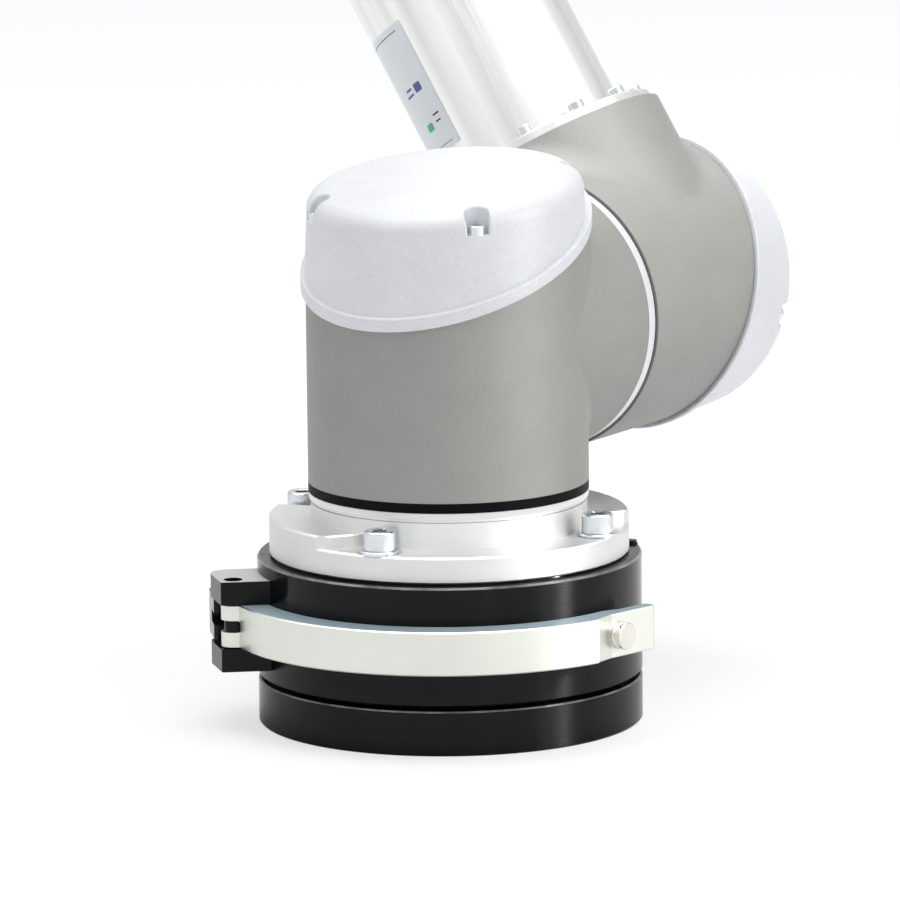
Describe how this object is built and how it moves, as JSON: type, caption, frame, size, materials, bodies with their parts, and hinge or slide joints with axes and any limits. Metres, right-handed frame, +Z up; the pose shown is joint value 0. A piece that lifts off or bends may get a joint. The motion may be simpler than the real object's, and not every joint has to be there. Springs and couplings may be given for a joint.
{
  "type": "collaborative robot arm",
  "caption": "Six-axis collaborative robot arm with round joint housings, slanted covers and two link tubes, standing on a quick-release clamp base with a wrap-around lever.",
  "frame": {"origin": "centre of the table plate's underside, on the first joint's axis", "axes": "+Z up along the first joint axis; +X along the second joint axis at rest, from the shoulder to the upper arm; the upper arm leans towards +Y"},
  "size_m": [0.2958, 0.5639, 0.7044],
  "materials": {
    "grey_housing": "satin",
    "silver_cover": "satin",
    "white_trim": "satin",
    "black_seal": "matte",
    "satin_tube": "satin",
    "machined_flange": "satin",
    "black_steel": "gloss",
    "black_anodised": "gloss",
    "champagne_lever": "satin",
    "bright_steel": "satin",
    "nickel": "gloss",
    "drive_parts": "satin"
  },
  "bodies": {
    "base": {"table_plate": "black_steel", "adapter_plate": "black_anodised", "locating_pins": "bright_steel", "collar_front_half": "black_anodised", "collar_hinge_pin": "black_steel", "lever_pivot_pin": "black_steel", "base_flange": "machined_flange", "flange_screws": "bright_steel", "flange_washers": "bright_steel", "base_trim_ring": "white_trim"},
    "collar_gate": {"collar_rear_half": "black_anodised", "tongue_pin": "black_steel"},
    "lever": {"clamp_lever": "champagne_lever", "lever_eccentric": "black_steel", "plunger_barrel": "nickel"},
    "link": {"draw_link": "black_steel"},
    "plunger": {"plunger_knob": "nickel"},
    "shoulder": {"shoulder_housing": "grey_housing", "shoulder_cover": "silver_cover", "shoulder_cover_screws": "bright_steel", "shoulder_drive": "drive_parts", "base_seal": "black_seal", "shoulder_trim_ring": "white_trim"},
    "upper_arm": {"upper_arm_housing": "grey_housing", "upper_arm_cover": "silver_cover", "elbow_housing": "grey_housing", "elbow_cover": "silver_cover", "upper_arm_cover_screws": "bright_steel", "upper_arm_drive": "drive_parts", "elbow_drive": "drive_parts", "upper_arm_seal": "black_seal", "elbow_seal": "black_seal", "upper_arm_tube": "satin_tube", "upper_arm_tube_flanges": "satin_tube", "upper_arm_tube_screws": "bright_steel"},
    "forearm": {"forearm_housing": "grey_housing", "forearm_cover": "silver_cover", "wrist_1_housing": "grey_housing", "wrist_1_cover": "silver_cover", "forearm_cover_screws": "bright_steel", "wrist_1_drive": "drive_parts", "forearm_trim_ring": "white_trim", "wrist_1_seal": "black_seal", "forearm_tube": "satin_tube", "forearm_tube_flanges": "satin_tube", "forearm_tube_screws": "bright_steel"},
    "wrist_1": {"wrist_2_housing": "grey_housing", "wrist_2_cover": "silver_cover", "wrist_2_cover_screws": "bright_steel", "wrist_2_drive": "drive_parts", "wrist_2_trim_ring": "white_trim", "wrist_2_seal": "black_seal"},
    "wrist_2": {"wrist_3_housing": "grey_housing", "wrist_3_cover": "silver_cover", "wrist_3_cover_screws": "bright_steel", "wrist_3_drive": "drive_parts", "wrist_3_trim_ring": "white_trim", "wrist_3_seal": "black_seal"},
    "tool": {"tool_flange": "machined_flange"}
  },
  "joints": [
    {"name": "j1_base", "type": "hinge", "parent": "base", "child": "shoulder", "pos_m": [0, 0, 0.0965], "axis": [0, 0, 1], "range_deg": [-175, 175]},
    {"name": "j2_shoulder", "type": "hinge", "parent": "shoulder", "child": "upper_arm", "pos_m": [0.072, 0, 0.16005], "axis": [-1, 0, 0], "range_deg": [-156.6, 93.4]},
    {"name": "j3_elbow", "type": "hinge", "parent": "upper_arm", "child": "forearm", "pos_m": [0.067, 0.22269, 0.52203], "axis": [1, 0, 0], "range_deg": [-251.6, 48.4]},
    {"name": "j4_wrist_1", "type": "hinge", "parent": "forearm", "child": "wrist_1", "pos_m": [0.058, -0.14566, 0.65611], "axis": [1, 0, 0], "range_deg": [-175, 175]},
    {"name": "j5_wrist_2", "type": "hinge", "parent": "wrist_1", "child": "wrist_2", "pos_m": [0.107, -0.18967, 0.65611], "axis": [0, 1, 0], "range_deg": [-175, 175]},
    {"name": "j6_wrist_3", "type": "hinge", "parent": "wrist_2", "child": "tool", "pos_m": [0.107, -0.23866, 0.61311], "axis": [0, 0, 1], "range_deg": [-175, 175]},
    {"name": "lever_hinge", "type": "hinge", "parent": "base", "child": "lever", "pos_m": [-0.06922, 0.06231, 0.045], "axis": [0, 0, -1], "range_deg": [0, 150]},
    {"name": "link_pivot", "type": "hinge", "parent": "lever", "child": "link", "pos_m": [-0.07, 0.06169, 0.045], "axis": [0, 0, -1], "range_deg": [-150, 0]},
    {"name": "collar_hinge", "type": "hinge", "parent": "base", "child": "collar_gate", "pos_m": [0.05126, -0.05773, 0.045], "axis": [0, 0, -1], "range_deg": [0, 0.72]},
    {"name": "plunger_pull", "type": "slide", "parent": "lever", "child": "plunger", "axis": [-0.1288, -0.9917, 0], "range_m": [0, 0.006], "stiffness_N_per_m": 600, "springref_m": -0.003}
  ],
  "couplings": [
    {"joint": "link_pivot", "follows": "lever_hinge", "ratio": -1},
    {"joint": "collar_hinge", "follows": "lever_hinge", "ratio": 0.0047}
  ]
}
